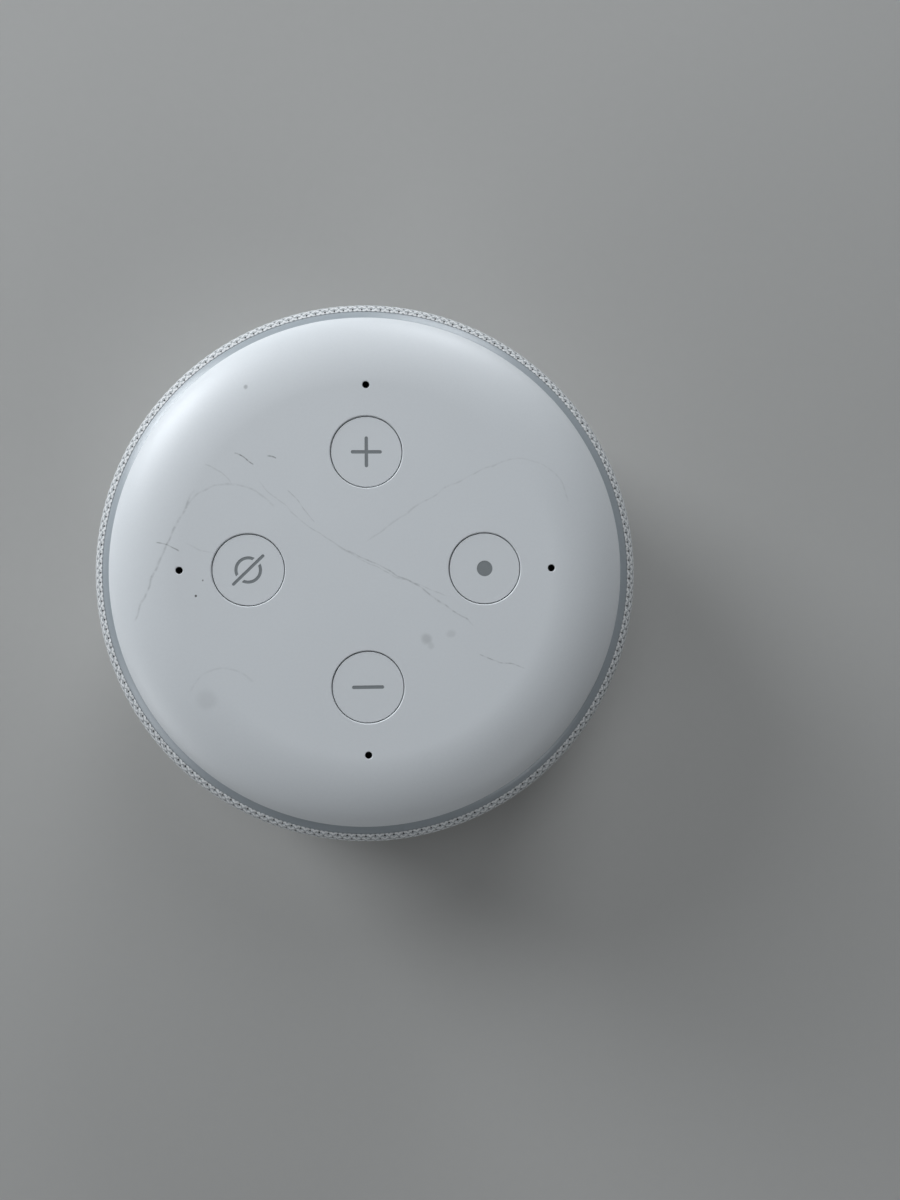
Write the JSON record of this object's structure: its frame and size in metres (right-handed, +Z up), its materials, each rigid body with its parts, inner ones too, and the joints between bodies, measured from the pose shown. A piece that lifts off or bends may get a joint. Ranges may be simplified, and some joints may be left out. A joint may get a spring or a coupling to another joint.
{
  "type": "smart speaker",
  "caption": "Puck-shaped smart speaker: white cover with push buttons and microphone holes, light ring, knitted sleeve, down-firing driver, rear power and audio sockets.",
  "frame": {"origin": "centre of the underside of the rubber pad, on the surface it stands on", "axes": "+Z up out of the button face, +Y to the back where the sockets are, +X to the right of the button face"},
  "size_m": [0.099, 0.099, 0.043],
  "materials": {
    "white_shell": "fine matte",
    "frosted_ring": "frosted, translucent",
    "pale_fabric": "knitted polyester",
    "grey_rubber": "matte silicone",
    "grey_shell": "moulded",
    "black_plastic": "moulded",
    "board_green": "solder mask on glass laminate",
    "tinned_steel": "plated",
    "aluminium": "die cast",
    "brass": "plated contact",
    "copper": "enamelled copper winding",
    "ferrite": "sintered",
    "paper_cone": "pressed paper pulp, coated",
    "black_rubber": "moulded",
    "spider_cloth": "resin-stiffened cotton",
    "red_wire": "PVC insulation",
    "black_wire": "PVC insulation",
    "ribbon_film": "polyester film"
  },
  "bodies": {
    "housing": {"top_cover": "white_shell", "base_plate": "white_shell", "port_bezel": "white_shell", "light_ring": "frosted_ring", "fabric_sleeve": "pale_fabric", "base_pad": "grey_rubber", "thermal_pad": "grey_rubber", "grille_frame": "grey_shell", "speaker_baffle": "grey_shell", "enclosure_cup": "grey_shell", "main_board": "board_green", "jack_board": "board_green", "led_ring": "ribbon_film", "ribbon_cable": "ribbon_film", "shield_can": "tinned_steel", "heat_spreader": "aluminium", "power_jack": "black_plastic", "audio_jack": "black_plastic", "ribbon_socket": "black_plastic", "power_jack_pin": "brass", "speaker_gasket": "black_rubber", "speaker_surround": "black_rubber", "speaker_basket": "tinned_steel", "speaker_spider": "spider_cloth", "top_plate": "tinned_steel", "yoke": "tinned_steel", "magnet": "ferrite", "speaker_wire_red": "red_wire", "speaker_wire_black": "black_wire", "volume_up_switch": "tinned_steel", "volume_down_switch": "tinned_steel", "mic_off_switch": "tinned_steel", "action_switch": "tinned_steel", "base_screw_1": "tinned_steel", "board_screw_1": "tinned_steel", "mic_gasket_1": "black_rubber", "microphone_1": "tinned_steel", "base_screw_2": "tinned_steel", "board_screw_2": "tinned_steel", "mic_gasket_2": "black_rubber", "microphone_2": "tinned_steel", "base_screw_3": "tinned_steel", "board_screw_3": "tinned_steel", "mic_gasket_3": "black_rubber", "microphone_3": "tinned_steel", "base_screw_4": "tinned_steel", "board_screw_4": "tinned_steel", "mic_gasket_4": "black_rubber", "microphone_4": "tinned_steel"},
    "volume_up_key": {"volume_up_button": "white_shell"},
    "volume_up_stem": {"volume_up_plunger": "black_plastic"},
    "volume_down_key": {"volume_down_button": "white_shell"},
    "volume_down_stem": {"volume_down_plunger": "black_plastic"},
    "mic_off_key": {"mic_off_button": "white_shell"},
    "mic_off_stem": {"mic_off_plunger": "black_plastic"},
    "action_key": {"action_button": "white_shell"},
    "action_stem": {"action_plunger": "black_plastic"},
    "cone_assembly": {"speaker_cone": "paper_cone", "dust_cap": "paper_cone", "voice_coil": "copper"}
  },
  "joints": [
    {"name": "volume_up_press", "type": "slide", "parent": "housing", "child": "volume_up_key", "axis": [0, 0, -1], "range_m": [0, 0.0004], "stiffness_N_per_m": 3000},
    {"name": "volume_up_plunge", "type": "slide", "parent": "housing", "child": "volume_up_stem", "axis": [0, 0, -1], "range_m": [0, 0.0004]},
    {"name": "mic_off_press", "type": "slide", "parent": "housing", "child": "mic_off_key", "axis": [0, 0, -1], "range_m": [0, 0.0004], "stiffness_N_per_m": 3000},
    {"name": "mic_off_plunge", "type": "slide", "parent": "housing", "child": "mic_off_stem", "axis": [0, 0, -1], "range_m": [0, 0.0004]},
    {"name": "volume_down_press", "type": "slide", "parent": "housing", "child": "volume_down_key", "axis": [0, 0, -1], "range_m": [0, 0.0004], "stiffness_N_per_m": 3000},
    {"name": "volume_down_plunge", "type": "slide", "parent": "housing", "child": "volume_down_stem", "axis": [0, 0, -1], "range_m": [0, 0.0004]},
    {"name": "action_press", "type": "slide", "parent": "housing", "child": "action_key", "axis": [0, 0, -1], "range_m": [0, 0.0004], "stiffness_N_per_m": 3000},
    {"name": "action_plunge", "type": "slide", "parent": "housing", "child": "action_stem", "axis": [0, 0, -1], "range_m": [0, 0.0004]},
    {"name": "cone_stroke", "type": "slide", "parent": "housing", "child": "cone_assembly", "axis": [0, 0, 1], "range_m": [-0.0012, 0.0012], "stiffness_N_per_m": 1500, "deforming": ["speaker_surround", "speaker_spider"]}
  ],
  "couplings": [
    {"joint": "volume_up_plunge", "follows": "volume_up_press", "ratio": 1},
    {"joint": "mic_off_plunge", "follows": "mic_off_press", "ratio": 1},
    {"joint": "volume_down_plunge", "follows": "volume_down_press", "ratio": 1},
    {"joint": "action_plunge", "follows": "action_press", "ratio": 1}
  ]
}
